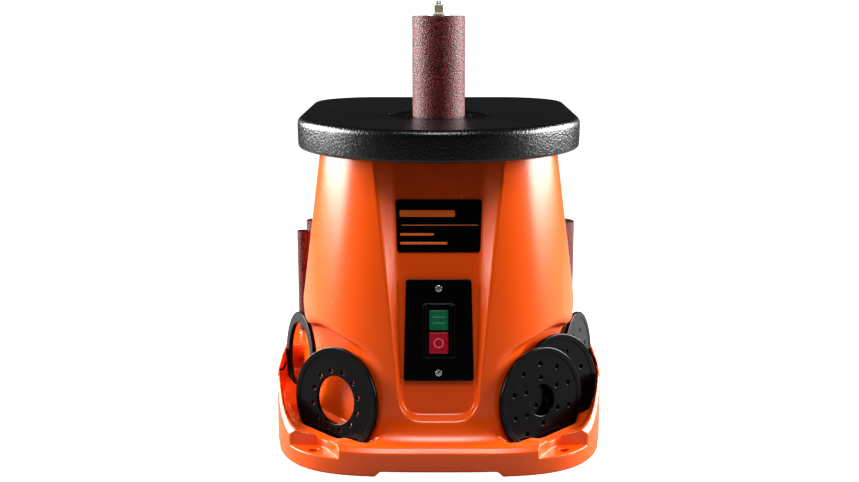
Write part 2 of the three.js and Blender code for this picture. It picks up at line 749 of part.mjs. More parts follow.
function motorPulleyGeometry() {
  const r = MOTOR_PULLEY_RADIUS;
  return turned([
    [6.3, PULLEY_BOTTOM], [r + 3, PULLEY_BOTTOM], [r + 3, PULLEY_BOTTOM + 2], [r, PULLEY_BOTTOM + 2.6],
    [r, PULLEY_TOP - 2.6], [r + 3, PULLEY_TOP - 2], [r + 3, PULLEY_TOP], [6.3, PULLEY_TOP],
    [6.3, PULLEY_BOTTOM],
  ], 24).translate(0, MOTOR_Y, 0);
}

// The belt: an open loop around both pulleys, drawn at an offset from their seats.
function beltShape(offset) {
  const small = SPINDLE_PULLEY_RADIUS + offset;
  const large = MOTOR_PULLEY_RADIUS + offset;
  const lean = Math.asin((large - small) / MOTOR_Y);
  const shape = new THREE.Shape();
  shape.absarc(0, MOTOR_Y, large, -lean, Math.PI + lean, false);
  shape.absarc(0, 0, small, Math.PI + lean, 2 * Math.PI - lean, false);
  shape.closePath();
  return shape;
}

function beltGeometry() {
  const shape = beltShape(3.3);
  shape.holes.push(beltShape(GAP));
  return prism(shape, PULLEY_BOTTOM + 3.5, PULLEY_TOP - 3.5, 12);
}

// The worm: a core with one thread wound around it, clear of the wheel's teeth.
function wormGeometry() {
  const core = tube(9.4, 11, 152, 190, 18);
  const turns = 6;
  const pitch = 4.1;
  class Helix extends THREE.Curve {
    getPoint(t, target = new THREE.Vector3()) {
      const a = t * turns * 2 * Math.PI;
      return target.set(11.2 * Math.cos(a), 11.2 * Math.sin(a), 155.5 + t * turns * pitch);
    }
  }
  const section = polygon([[-0.9, -1.3], [1.6, 0], [-0.9, 1.3]]);
  const thread = new THREE.ExtrudeGeometry(section, { steps: 54, extrudePath: new Helix() });
  return join(core, thread);
}

function wormWheelGeometry() {
  const root = WHEEL_RADIUS - 2.2;
  const points = [];
  for (let i = 0; i < WHEEL_TEETH; i++) {
    for (const [share, radius] of [[0, root], [0.2, WHEEL_RADIUS], [0.5, WHEEL_RADIUS], [0.7, root]]) {
      const a = ((i + share) * 2 * Math.PI) / WHEEL_TEETH;
      points.push([radius * Math.cos(a), radius * Math.sin(a)]);
    }
  }
  const wheel = prism(polygon(points), -5, 5);
  const pin = rod(PIN_RADIUS, 4, YOKE_X[0] - 1.5, 12).translate(0, STROKE_HALF, 0);
  const bore = rod(4.3, -10, 6 - GAP, 12);
  return cut(join(wheel, pin), bore).rotateY(Math.PI / 2).translate(0, WHEEL_Y, WHEEL_Z);
}

// ------------------------------------------------------------------------------ motor

function motorCaseGeometry() {
  const r = MOTOR_RADIUS;
  const low = DECK_TOP + GAP;
  const can = turned([
    [9, MOTOR_TOP], [9, MOTOR_TOP - 3], [r - 4, MOTOR_TOP - 3], [r - 4, low],
    [r, low], [r, MOTOR_TOP - 6], [r - 6, MOTOR_TOP], [9, MOTOR_TOP],
  ], 28);
  return can.translate(0, MOTOR_Y, 0);
}

function motorRotorGeometry() {
  return turned([
    [0, 106], [6, 106], [6, 160], [30, 160], [30, 212], [6, 212], [6, 236], [0, 236],
  ], 20).translate(0, MOTOR_Y, 0);
}

function motorFanGeometry() {
  const hub = tube(6.4, 12, 218, 232, 12);
  const web = tube(10, 44, 218, 220, 20);
  const blades = Array.from({ length: 6 }, (_, i) => {
    return block(11, 44, -1, 1, 219, 231).rotateZ((i * Math.PI) / 3);
  });
  return join(hub, web, ...blades).translate(0, MOTOR_Y, 0);
}

// --------------------------------------------------------------------- dust extraction

const GLAND_PLACE = [0, 0, 112];

function chuteGeometry() {
  const top = TABLE_TOP - TABLE_PLATE - GAP;
  const outside = join(
    block(-46.5, 46.5, -52, 52, 288, top),
    block(-33, 33, 50, 130, 288, top),
    block(-26, 26, 128, CHUTE_BACK, 245, 315.5),
  );
  const inside = join(
    block(-44, 44, -49.5, 49.5, 290.5, top + 5),
    block(-30.5, 30.5, 40, 127.5, 290.5, top + 5),
    block(-23.5, 23.5, 120, 135, 290.5, 313),
    block(-23.5, 23.5, 130.5, CHUTE_BACK - 2.5, 247.5, 313),
  );
  const spindleHole = rod(13, 280, 300, 16);
  const portHole = rod(PORT_BORE_RADIUS, CHUTE_BACK - 5, CHUTE_BACK + 5).rotateX(-Math.PI / 2);
  return cut(outside, inside, spindleHole, portHole.translate(0, 0, PORT_Z));
}

function dustPortGeometry() {
  const face = BOSS_FACE_Y + GAP;
  const inner = CHUTE_BACK + GAP;
  return turned([
    [PORT_BORE_RADIUS, inner], [PORT_OUTER_RADIUS, inner], [PORT_OUTER_RADIUS, face],
    [31, face], [31, face + 3], [PORT_OUTER_RADIUS, face + 3], [PORT_OUTER_RADIUS, PORT_FACE_Y],
    [PORT_BORE_RADIUS, PORT_FACE_Y], [PORT_BORE_RADIUS, inner],
  ], 24).rotateX(-Math.PI / 2).translate(0, 0, PORT_Z);
}

// The cord gland in the tower's back wall, square to it.
function glandGeometry() {
  const wallY = 177.5;
  return turned([
    [3.5, wallY - 10], [10.5, wallY - 10], [10.5, wallY - 4], [8, wallY - 4], [8, wallY + 14],
    [5.5, wallY + 22], [3.5, wallY + 22], [3.5, wallY - 10],
  ], 16).rotateX(-Math.PI / 2).translate(...GLAND_PLACE);
}

// --------------------------------------------------------------------------- assembly

function buildMachine() {
  const machine = new THREE.Group();

  // housing and what carries it
  part("housing", housingGeometry(), orangePlastic, machine);
  part("base_plate", basePlateGeometry(), sheetSteel, machine);
  for (const [corner, x, y] of FOOT_SPOTS) {
    const pad = turned([[0, 0], [10, 0], [11, 1], [11, 4.2], [0, 4.2]], 12);
    const foot = part(`foot_${corner}`, pad, rubber, machine);
    foot.position.set(x, y, 0);
  }

  // table
  part("table", tableGeometry(), tableIron, machine);
  tableBoltSpots().forEach(([x, y], i) => {
    const head = prism(hexagon(10), FLANGE_HEIGHT - 6, FLANGE_HEIGHT - GAP);
    const shank = rod(3, FLANGE_HEIGHT - 2, TABLE_TOP - 3, 10);
    const bolt = part(`table_bolt_${i + 1}`, join(head, shank), steel, machine);
    bolt.position.set(x, y, 0);
  });
  const seated = part("table_insert_51", insertGeometry(51), blackPlastic, machine);
  seated.position.z = TABLE_TOP - INSERT_THICKNESS / 2;

  // spare inserts, standing in their slots
  const stored = [[38, 0, -1], [76, 2, -1], [26, 0, 1], [19, 1, 1], [13, 2, 1]];
  for (const [size, slotNumber, side] of stored) {
    const slot = SLOTS[slotNumber];
    const insert = part(`insert_${size}`, insertGeometry(size), blackPlastic, machine);
    insert.rotation.set(degrees(90 - slot.lean), 0, degrees(side * slot.turn), "ZXY");
    insert.position.set(side * slot.x, slot.y, slot.z);
  }

  // spare drums and sleeves on their pegs
  for (const { size, x, y } of PEGS) {
    const spare = new THREE.Group();
    spare.position.set(x, y, PEG_PAD_TOP + GAP);
    part(`sleeve_${size}`, sleeveGeometry(size, 0), abrasive, spare);
    if (size > 13) {
      part(`drum_${size}`, drumGeometry(size, 0), rubber, spare);
    }
    machine.add(spare);
  }

  // control panel
  part("label_plate", labelGeometry(), labelFilm, machine);
  part("switch_plate", switchPlateGeometry(), blackPlastic, machine);
  part("switch_body", switchBodyGeometry(), blackPlastic, machine);
  part("start_button", buttonGeometry(START_Y, 6), greenPlastic, machine);
  part("stop_button", buttonGeometry(STOP_Y, 7), redPlastic, machine);
  part("switch_screw_upper", screwGeometry(41), zincPlate, machine);
  part("switch_screw_lower", screwGeometry(-41), zincPlate, machine);

  // spindle and what is clamped on it
  const drumTop = DRUM_BOTTOM + SLEEVE_LENGTH;
  part("spindle", spindleGeometry(), steel, machine);
  part("washer_lower", tube(6.4, 16, DRUM_BOTTOM - 3, DRUM_BOTTOM - GAP, 16), steel, machine);
  part("drum_51", drumGeometry(51, DRUM_BOTTOM), rubber, machine);
  part("sleeve_51", sleeveGeometry(51, DRUM_BOTTOM), abrasive, machine);
  part("washer_upper", tube(5.1, 11.3, drumTop + GAP, drumTop + 2.8, 16), zincPlate, machine);
  part("spindle_nut", nutGeometry(), zincPlate, machine);

  // lift carriage and drive
  part("lift_carriage", carriageGeometry(), castAlloy, machine);
  const lowerBearing = tube(6.4, 13.9, CARRIAGE_BOTTOM + 1, CARRIAGE_BOTTOM + 9, 16);
  part("spindle_bearing_lower", lowerBearing, steel, machine);
  part("spindle_bearing_upper", tube(6.4, 13.9, CARRIAGE_TOP - 9, CARRIAGE_TOP - 1, 16), steel, machine);
  part("drive_deck", deckGeometry(), castAlloy, machine);
  part("guide_bridge", bridgeGeometry(), castAlloy, machine);
  part("guide_rod_left", rod(5, DECK_BOTTOM, 286, 12).translate(-ROD_X, 0, 0), steel, machine);
  part("guide_rod_right", rod(5, DECK_BOTTOM, 286, 12).translate(ROD_X, 0, 0), steel, machine);
  part("hub_bearing", tube(10.7, 16.7, DECK_BOTTOM, DECK_TOP + 1.5, 16), steel, machine);
  part("spindle_pulley", spindlePulleyGeometry(), darkSteel, machine);
  part("worm", wormGeometry(), darkSteel, machine);
  part("worm_wheel", wormWheelGeometry(), bronze, machine);
  const axle = rod(4, -14, 5, 12).rotateY(Math.PI / 2).translate(0, WHEEL_Y, WHEEL_Z);
  part("wheel_axle", axle, steel, machine);
  part("drive_belt", beltGeometry(), rubber, machine);

  // motor
  part("motor_case", motorCaseGeometry(), motorPaint, machine);
  const stator = tube(30.6, MOTOR_RADIUS - 4.5, 160, 212, 28).translate(0, MOTOR_Y, 0);
  part("motor_stator", stator, darkSteel, machine);
  part("motor_rotor", motorRotorGeometry(), steel, machine);
  part("motor_fan", motorFanGeometry(), blackPlastic, machine);
  part("motor_pulley", motorPulleyGeometry(), darkSteel, machine);

  // dust extraction and cord entry
  part("dust_chute", chuteGeometry(), blackPlastic, machine);
  part("dust_port", dustPortGeometry(), blackPlastic, machine);
  part("cord_gland", glandGeometry(), blackPlastic, machine);

  return machine;
}

const machine = buildMachine();
machine.position.y = -(BASE_FRONT + BASE_REAR) / 2;

export default machine;
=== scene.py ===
import math
import bpy
import numpy as np
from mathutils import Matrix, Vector


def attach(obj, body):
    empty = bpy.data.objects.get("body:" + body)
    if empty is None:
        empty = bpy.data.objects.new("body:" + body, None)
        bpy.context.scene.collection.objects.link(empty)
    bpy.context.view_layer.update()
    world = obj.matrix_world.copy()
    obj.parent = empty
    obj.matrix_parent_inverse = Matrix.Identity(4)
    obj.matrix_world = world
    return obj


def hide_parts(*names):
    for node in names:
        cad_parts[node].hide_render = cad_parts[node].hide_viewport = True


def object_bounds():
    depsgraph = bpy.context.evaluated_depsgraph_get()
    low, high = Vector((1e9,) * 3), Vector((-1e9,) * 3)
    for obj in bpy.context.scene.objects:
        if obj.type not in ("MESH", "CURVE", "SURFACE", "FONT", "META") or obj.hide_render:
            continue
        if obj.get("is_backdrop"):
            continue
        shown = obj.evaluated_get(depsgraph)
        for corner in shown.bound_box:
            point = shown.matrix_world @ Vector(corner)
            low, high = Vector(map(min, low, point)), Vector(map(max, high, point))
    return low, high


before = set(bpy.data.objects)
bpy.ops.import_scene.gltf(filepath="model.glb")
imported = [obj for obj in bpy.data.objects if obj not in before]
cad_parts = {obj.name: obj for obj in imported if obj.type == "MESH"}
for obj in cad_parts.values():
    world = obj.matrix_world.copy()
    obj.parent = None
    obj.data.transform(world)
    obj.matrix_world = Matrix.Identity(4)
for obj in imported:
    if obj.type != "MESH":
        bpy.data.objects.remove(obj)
CAD_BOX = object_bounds()

# The shapes are worked out in millimetres about the spindle axis, as in the CAD, and
# moved back by AXIS_Y when they become meshes in metres.
AXIS_Y = -35.0

HOUSING_CELL = 1.6
INSERT_CELL = 0.62
PANEL_CELL = 0.45
SHANK_CELL = 0.9
NUT_CELL = 0.4
LABEL_CELL = 0.34
MARK_CELL = 0.3


# ------------------------------------------------------------------ field helpers

def smin(a, b, k):
    h = np.clip(0.5 + 0.5 * (b - a) / k, 0.0, 1.0)
    return b + (a - b) * h - k * h * (1.0 - h)


def smax(a, b, k):
    return -smin(-a, -b, k)


def smooth(t):
    t = np.clip(t, 0.0, 1.0)
    return t * t * (3.0 - 2.0 * t)


def oval(x, y, a, b, p):
    """Distance, near enough, to the outline |x/a|^p + |y/b|^p = 1."""
    ax = (np.abs(x) / a) ** p
    by = (np.abs(y) / b) ** p
    total = ax + by + 1e-9
    value = total ** (1.0 / p)
    gx = value * (ax / total) / np.maximum(np.abs(x), 1e-2)
    gy = value * (by / total) / np.maximum(np.abs(y), 1e-2)
    return (value - 1.0) / np.sqrt(gx * gx + gy * gy + 1e-9)


def box2(x, y, hx, hy, r=0.0):
    qx = np.abs(x) - hx + r
    qy = np.abs(y) - hy + r
    outside = np.hypot(np.maximum(qx, 0.0), np.maximum(qy, 0.0))
    return outside + np.minimum(np.maximum(qx, qy), 0.0) - r


def slab(d, z, z0, z1, k):
    """A flat outline d, made solid between z0 and z1 with edges rounded by k."""
    return smax(smax(d, z - z1, k), z0 - z, k)


# ------------------------------------------------------------------ meshing

CORNERS = [(0, 0, 0), (1, 0, 0), (0, 1, 0), (1, 1, 0), (0, 0, 1), (1, 0, 1), (0, 1, 1), (1, 1, 1)]
EDGES = [
    (0, 1), (2, 3), (4, 5), (6, 7),
    (0, 2), (1, 3), (4, 6), (5, 7),
    (0, 4), (1, 5), (2, 6), (3, 7),
]
LOST_DISTANCE = 0.3


def gradient(field, p, h=0.05):
    parts = []
    for i in range(3):
        a, b = [p[:, j].copy() for j in range(3)], [p[:, j].copy() for j in range(3)]
        a[i] += h
        b[i] -= h
        parts.append((field(*a) - field(*b)) / (2 * h))
    return np.stack(parts, 1)


def net(field, low, high, cell):
    """A closed quad mesh of field = 0: points, faces and the field's own normals."""
    axes = [np.arange(low[i] - cell, high[i] + 2 * cell, cell) for i in range(3)]
    shape = [len(a) for a in axes]
    values = np.empty(shape, np.float32)
    ys, zs = np.meshgrid(axes[1], axes[2], indexing="ij")
    step = max(1, int(4e5 / ys.size))
    for i in range(0, shape[0], step):
        xs = axes[0][i:i + step][:, None, None]
        values[i:i + step] = field(xs + 0 * ys[None], ys[None] + 0 * xs, zs[None] + 0 * xs)
    inside = values < 0
    count = np.zeros([n - 1 for n in shape], np.uint8)
    for cx, cy, cz in CORNERS:
        count += inside[cx:shape[0] - 1 + cx, cy:shape[1] - 1 + cy, cz:shape[2] - 1 + cz]
    live = np.argwhere((count > 0) & (count < 8))
    index = np.full(count.shape, -1, np.int64)
    index[tuple(live.T)] = np.arange(len(live))
    corner = np.stack([values[tuple((live + c).T)] for c in CORNERS])
    points = np.zeros((len(live), 3))
    hits = np.zeros(len(live))
    for a, b in EDGES:
        va, vb = corner[a], corner[b]
        cross = (va < 0) != (vb < 0)
        t = np.where(cross, va / np.where(cross, va - vb, 1.0), 0.0)
        place = np.array(CORNERS[a]) + t[:, None] * (np.array(CORNERS[b]) - np.array(CORNERS[a]))
        points += place * cross[:, None]
        hits += cross
    start = np.array([a[0] for a in axes])
    points = start + cell * (live + points / hits[:, None])
    first_guess = points.copy()
    faces = []
    for axis in range(3):
        u, v = (axis + 1) % 3, (axis + 2) % 3
        first = [slice(None)] * 3
        second = [slice(None)] * 3
        first[axis], second[axis] = slice(0, -1), slice(1, None)
        change = inside[tuple(first)] != inside[tuple(second)]
        spots = np.argwhere(change)
        spots = spots[(spots[:, u] > 0) & (spots[:, v] > 0)]
        spots = spots[(spots[:, u] < shape[u] - 1) & (spots[:, v] < shape[v] - 1)]
        eu, ev = np.zeros(3, int), np.zeros(3, int)
        eu[u], ev[v] = 1, 1
        quad = [index[tuple((spots - s).T)] for s in (eu + ev, ev, 0 * eu, eu)]
        quad = np.stack(quad, 1)
        solid = inside[tuple(spots.T)]
        quad[~solid] = quad[~solid][:, ::-1]
        faces.append(quad)
    faces = np.concatenate(faces)
    for _ in range(3):
        g = gradient(field, points)
        size = np.maximum((g * g).sum(1), 0.05)
        move = -g * (field(*points.T) / size)[:, None]
        length = np.linalg.norm(move, axis=1, keepdims=True)
        points = points + move * np.minimum(1.0, 0.45 * cell / np.maximum(length, 1e-9))
    lost = np.abs(field(*points.T)) > LOST_DISTANCE
    points[lost] = first_guess[lost]
    g = gradient(field, points)
    normals = g / np.maximum(np.linalg.norm(g, axis=1, keepdims=True), 1e-9)
    return points, faces, normals


def finish_piece(obj, body, material, nodes):
    obj.data.materials.append(material)
    if nodes:
        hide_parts(*nodes)
    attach(obj, body)
    return obj


def mesh_piece(name, points, faces, body, material, nodes=(),
               normals=None, basis=None):
    """points in millimetres about the spindle axis, or in a local basis (origin, x, y, z)."""
    points = np.asarray(points, float)
    if basis is not None:
        turn = np.array(basis[1:])
        points = np.array(basis[0]) + points @ turn
        normals = normals @ turn if normals is not None else None
    points = (points + np.array([0, AXIS_Y, 0])) / 1000.0
    mesh = bpy.data.meshes.new(name)
    mesh.from_pydata(points.tolist(), [], [list(map(int, f)) for f in faces])
    mesh.polygons.foreach_set("use_smooth", [True] * len(mesh.polygons))
    mesh.update()
    if normals is not None:
        mesh.normals_split_custom_set_from_vertices(normals.tolist())
    obj = bpy.data.objects.new(name, mesh)
    bpy.context.scene.collection.objects.link(obj)
    return finish_piece(obj, body, material, nodes)


def field_piece(name, field, low, high, cell, body, material, nodes=(), basis=None):
    points, faces, normals = net(field, low, high, cell)
    return mesh_piece(name, points, faces, body, material, nodes, normals, basis)


def rounded(profile, radius, steps=4):
    """The closed profile (r, z) with each corner off the axis rounded."""
    out = []
    n = len(profile)
    for i in range(n):
        p, a, b = (Vector(profile[j % n]) for j in (i, i - 1, i + 1))
        if p.x < 1e-6:
            out.append(p[:])
            continue
        da, db = a - p, b - p
        if da.length < 1e-6 or db.length < 1e-6:
            continue
        r = min(radius, da.length * 0.45, db.length * 0.45)
        start, end = p + da.normalized() * r, p + db.normalized() * r
        for j in range(steps + 1):
            t = j / steps
            q = start * (1 - t) ** 2 + p * (2 * t * (1 - t)) + end * t * t
            out.append((q.x, q.y))
    return out


def lathe_piece(name, profile, centre, body, material, nodes=(),
                radius=0.5, around=96, axis="Z"):
    """Turns a closed profile of (r, z), listed counter-clockwise in the r-z plane."""
    profile = rounded(profile, radius)
    points, faces, rows = [], [], []
    for r, z in profile:
        if r < 1e-6:
            rows.append([len(points)] * around)
            points.append((0, 0, z))
            continue
        rows.append(list(range(len(points), len(points) + around)))
        for j in range(around):
            a = 2 * math.pi * j / around
            points.append((r * math.cos(a), r * math.sin(a), z))
    closed = profile[0][0] > 1e-6 or profile[-1][0] > 1e-6
    for i in range(len(rows) if closed else len(rows) - 1):
        low, up = rows[i], rows[(i + 1) % len(rows)]
        for j in range(around):
            k = (j + 1) % around
            loop = []
            for v in (low[j], low[k], up[k], up[j]):
                if v not in loop:
                    loop.append(v)
            if len(loop) > 2:
                faces.append(loop)
    points = np.array(points)
    if axis == "Y":
        points = np.stack([points[:, 0], points[:, 2], -points[:, 1]], 1)
    points = points + np.array(centre)
    obj = mesh_piece(name, points, faces, body, material, nodes)
    edge = obj.modifiers.new("edges", "WEIGHTED_NORMAL")
    edge.keep_sharp = True
    return obj


# ------------------------------------------------------------------ materials

def surface(name, colour, rough, metal=0.0, tint=0.12, spots=40.0, bump=(), wear_and_edge_highlight=0.0, rough_span=0.08,
            gloss=0.5, ramp_half=0.35):
    """A procedural finish. bump lists (kind, scale, strength, distance in metres)."""
    mat = bpy.data.materials.new(name)
    mat.use_nodes = True
    nodes, links = mat.node_tree.nodes, mat.node_tree.links
    shader = nodes["Principled BSDF"]
    shader.inputs["Metallic"].default_value = metal
    shader.inputs["Specular IOR Level"].default_value = gloss
    where = nodes.new("ShaderNodeTexCoord").outputs["Object"]

    def noise(scale, detail=3.0):
        node = nodes.new("ShaderNodeTexNoise")
        node.inputs["Scale"].default_value = scale
        node.inputs["Detail"].default_value = detail
        links.new(where, node.inputs["Vector"])
        return node.outputs["Fac"]

    clouds = noise(spots)
    ramp = nodes.new("ShaderNodeValToRGB")
    ramp.color_ramp.elements[0].position = 0.5 - ramp_half
    ramp.color_ramp.elements[1].position = 0.5 + ramp_half
    ramp.color_ramp.elements[0].color = [c * (1 - tint) for c in colour] + [1]
    ramp.color_ramp.elements[1].color = [min(1, c * (1 + tint)) for c in colour] + [1]
    links.new(clouds, ramp.inputs["Fac"])
    colour_out = ramp.outputs["Color"]
    # Convex edges found by Pointiness are lightened in colour: partly rubbed wear, partly a painted edge
    # highlight.
    if wear_and_edge_highlight:
        shape = nodes.new("ShaderNodeNewGeometry")
        edge = nodes.new("ShaderNodeMapRange")
        edge.inputs["From Min"].default_value = 0.52
        edge.inputs["From Max"].default_value = 0.60
        edge.inputs["To Max"].default_value = wear_and_edge_highlight
        links.new(shape.outputs["Pointiness"], edge.inputs["Value"])
        mix = nodes.new("ShaderNodeMix")
        mix.data_type = "RGBA"
        mix.inputs[7].default_value = [min(1, 0.12 + c * 1.25) for c in colour] + [1]
        links.new(edge.outputs["Result"], mix.inputs[0])
        links.new(colour_out, mix.inputs[6])
        colour_out = mix.outputs[2]
    links.new(colour_out, shader.inputs["Base Color"])
    span = nodes.new("ShaderNodeMapRange")
    span.inputs["To Min"].default_value = rough - rough_span
    span.inputs["To Max"].default_value = rough + rough_span
    links.new(noise(spots * 4.0), span.inputs["Value"])
    links.new(span.outputs["Result"], shader.inputs["Roughness"])
    before = None
    for kind, scale, strength, distance in bump:
        if kind == "cells":
            node = nodes.new("ShaderNodeTexVoronoi")
            node.feature = "SMOOTH_F1"
            node.inputs["Scale"].default_value = scale
            links.new(where, node.inputs["Vector"])
            height = node.outputs["Distance"]
        else:
            height = noise(scale, 2.0)
        node = nodes.new("ShaderNodeBump")
        node.inputs["Strength"].default_value = strength
        node.inputs["Distance"].default_value = distance
        links.new(height, node.inputs["Height"])
        if before is not None:
            links.new(before, node.inputs["Normal"])
        before = node.outputs["Normal"]
    if before is not None:
        links.new(before, shader.inputs["Normal"])
    return mat


def rgb(r, g, b):
    def lin(v):
        v = v / 255.0
        return v / 12.92 if v <= 0.04045 else ((v + 0.055) / 1.055) ** 2.4
    return (lin(r), lin(g), lin(b))


ORANGE = surface("orange_moulding", (0.84, 0.102, 0.002), 0.27, tint=0.01, spots=9,
                 bump=[("noise", 1500, 0.12, 0.0002)], rough_span=0.01, gloss=0.75)
BLACK = surface("black_moulding", (0.001, 0.001, 0.0014), 0.24, tint=0.2, spots=30,
                bump=[("noise", 1300, 0.2, 0.0002)], wear_and_edge_highlight=0.07, gloss=0.22)
TABLE_FINISH = surface("hammered_coat", (0.0012, 0.0014, 0.002), 0.28, tint=0.35, spots=170,
                       bump=[("cells", 520, 0.35, 0.0008), ("noise", 900, 0.3, 0.0005)],
                       wear_and_edge_highlight=0.05, gloss=0.75)
PANEL_BLACK = surface("panel_black", (0.0012, 0.0012, 0.0015), 0.25, tint=0.2, spots=60,
                      bump=[("noise", 1800, 0.15, 0.0001)], wear_and_edge_highlight=0.2, gloss=0.25)
LABEL_BLACK = surface("label_film", (0.0012, 0.0012, 0.0015), 0.25, tint=0.15, spots=25,
                      bump=[("noise", 900, 0.05, 0.0001)], gloss=0.25)
LABEL_LINE = surface("label_line", rgb(238, 120, 50), 0.3, tint=0.06, spots=80,
                     bump=[("noise", 900, 0.05, 0.0001)])
GRIT = surface("abrasive_grit", (0.1, 0.009, 0.009), 0.42, tint=0.8, spots=520,
               bump=[("cells", 900, 0.9, 0.0007), ("noise", 2200, 0.5, 0.0004)], rough_span=0.2, gloss=0.4,
               ramp_half=0.08)
RUBBER = surface("rubber", (0.014, 0.014, 0.015), 0.75, tint=0.25, spots=60,
                 bump=[("noise", 900, 0.3, 0.0003)])
BUTTON_GRAIN = [("noise", 1500, 0.1, 0.0001)]
GREEN = surface("green_button", rgb(10, 108, 72), 0.3, tint=0.08, spots=60, bump=BUTTON_GRAIN)
RED = surface("red_button", rgb(172, 22, 44), 0.3, tint=0.08, spots=60, bump=BUTTON_GRAIN)
RED_MARK = surface("button_mark", rgb(222, 120, 132), 0.35, tint=0.06, spots=60, bump=BUTTON_GRAIN)
GREEN_MARK = surface("button_lines", rgb(70, 160, 126), 0.35, tint=0.06, spots=60, bump=BUTTON_GRAIN)
ZINC = surface("zinc_plate", (0.78, 0.74, 0.6), 0.32, metal=0.7, tint=0.12, spots=240,
               bump=[("noise", 1600, 0.15, 0.0001)])
STEEL = surface("ground_steel", (0.56, 0.57, 0.6), 0.26, metal=1.0, tint=0.1, spots=150,
                bump=[("noise", 1800, 0.12, 0.0001)])
DARK_STEEL = surface("dark_steel", (0.14, 0.145, 0.16), 0.4, metal=0.9, tint=0.2, spots=120,
                     bump=[("noise", 900, 0.2, 0.0002)])
CAST = surface("cast_alloy", (0.42, 0.43, 0.45), 0.5, metal=0.85, tint=0.12, spots=90,
               bump=[("noise", 700, 0.35, 0.0004)])
SHEET = surface("zinc_sheet", (0.42, 0.44, 0.46), 0.38, metal=0.9, tint=0.16, spots=60,
                bump=[("noise", 500, 0.12, 0.0002)])
MOTOR = surface("motor_enamel", (0.05, 0.056, 0.07), 0.4, metal=0.2, tint=0.15, spots=70,
                bump=[("noise", 800, 0.25, 0.0003)])
BRONZE = surface("bronze", (0.46, 0.27, 0.1), 0.34, metal=1.0, tint=0.15, spots=150,
                 bump=[("noise", 1400, 0.15, 0.0001)])

KEPT = {
    "base_plate": SHEET, "spindle_bearing_lower": STEEL, "spindle_bearing_upper": STEEL,
    "guide_rod_left": STEEL, "guide_rod_right": STEEL, "hub_bearing": STEEL, "wheel_axle": STEEL,
    "motor_rotor": STEEL, "lift_carriage": CAST, "drive_deck": CAST, "guide_bridge": CAST,
    "spindle_pulley": DARK_STEEL, "worm": DARK_STEEL, "motor_stator": DARK_STEEL,
    "motor_pulley": DARK_STEEL, "worm_wheel": BRONZE, "drive_belt": RUBBER,
    "motor_case": MOTOR, "motor_fan": BLACK,
    "dust_chute": BLACK, "switch_body": BLACK, "table_bolt_1": STEEL, "table_bolt_2": STEEL,
    "table_bolt_3": STEEL, "table_bolt_4": STEEL, "drum_19": RUBBER, "drum_26": RUBBER,
}
for node_name, material in KEPT.items():
    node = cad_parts[node_name]
    for spot in node.material_slots:
        spot.material = material
    if not node.material_slots:
        node.data.materials.append(material)


# ------------------------------------------------------------------ housing

# Each storage slot: the disc's centre x, y and z, its turn and lean in degrees, and the room
# behind and above it. The left side is mirrored.
SLOTS = [
    (101.2, -118.0, 62.0, 37.0, 6.0, 1.5, 4.0),
    (120.0, -91.5, 68.2, 39.0, 6.0, 6.0, 4.0),
    (145.6, -26.5, 73.6, 68.0, 3.0, 9.0, 4.0),
]
# Each peg, by the size of its drum: x, y and the radius of its sleeve.
PEGS = {
    13: (-152, 80, 7.4),
    26: (-141.5, 145, 14.3),
    76: (-103, 187, 39.6),
    38: (138.5, 140, 20.4),
    19: (95, 192, 10.7),
}
PANEL_SLOPE = 0.165
PANEL_TOP_Y = -99
PANEL_TOP_Z = 290
PANEL_CENTRE_Z = 135.0
PANEL_Y = PANEL_TOP_Y - PANEL_SLOPE * (PANEL_TOP_Z - PANEL_CENTRE_Z)
TILT = math.atan(PANEL_SLOPE)
TOWER_TOP = 323.5
FEET = [(-88, -148), (88, -148), (-130, 182), (130, 182)]
PORT_Z = 268.0
GLAND_Z = 112


# The panel's own frame: its centre, then its x, y and outward directions.
PANEL = (
    (0, PANEL_Y, PANEL_CENTRE_Z),
    (1, 0, 0),
    (0, math.sin(TILT), math.cos(TILT)),
    (0, -math.cos(TILT), math.sin(TILT)),
)


def slot_basis(slot, side):
    turn, lean = math.radians(slot[3]), math.radians(slot[4])
    s, c = math.sin(turn), math.cos(turn)
    up = (-side * s * math.sin(lean), c * math.sin(lean), math.cos(lean))
    face = (side * s * math.cos(lean), -c * math.cos(lean), math.sin(lean))
    return ((side * slot[0], slot[1], slot[2]), (c, side * s, 0.0), up, face)


def tower(x, y, z, inset=0.0):
    drop = TOWER_TOP - z
    yy = y + 5.0
    b = np.where(yy < 0, 110 + 0.12 * drop, 176 + 0.045 * drop)
    p = 2.5 - 0.78 * smooth((yy + 40) / 80)
    return oval(x, yy, 119 + 0.13 * drop, b, p) + inset


def rim_height(y):
    return 75 - 40 * smooth((-62 - y) / 68) - 5 * np.clip((-130 - y) / 40, 0, 1)


def shelf_height(y):
    return 28 + 22 * smooth((y + 160) / 140) + 25 * smooth((y - 26) / 12)


def pocket(x, y):
    corners = [(150, -126), (138, -127), (117, -130), (109, -137), (96, -162), (96, -200)]
    out = None
    for (ax, ay), (bx, by) in zip(corners, corners[1:]):
        length = math.hypot(bx - ax, by - ay)
        d = ((x - ax) * (by - ay) - (y - ay) * (bx - ax)) / length
        out = d if out is None else smax(out, d, 2.5)
    return out


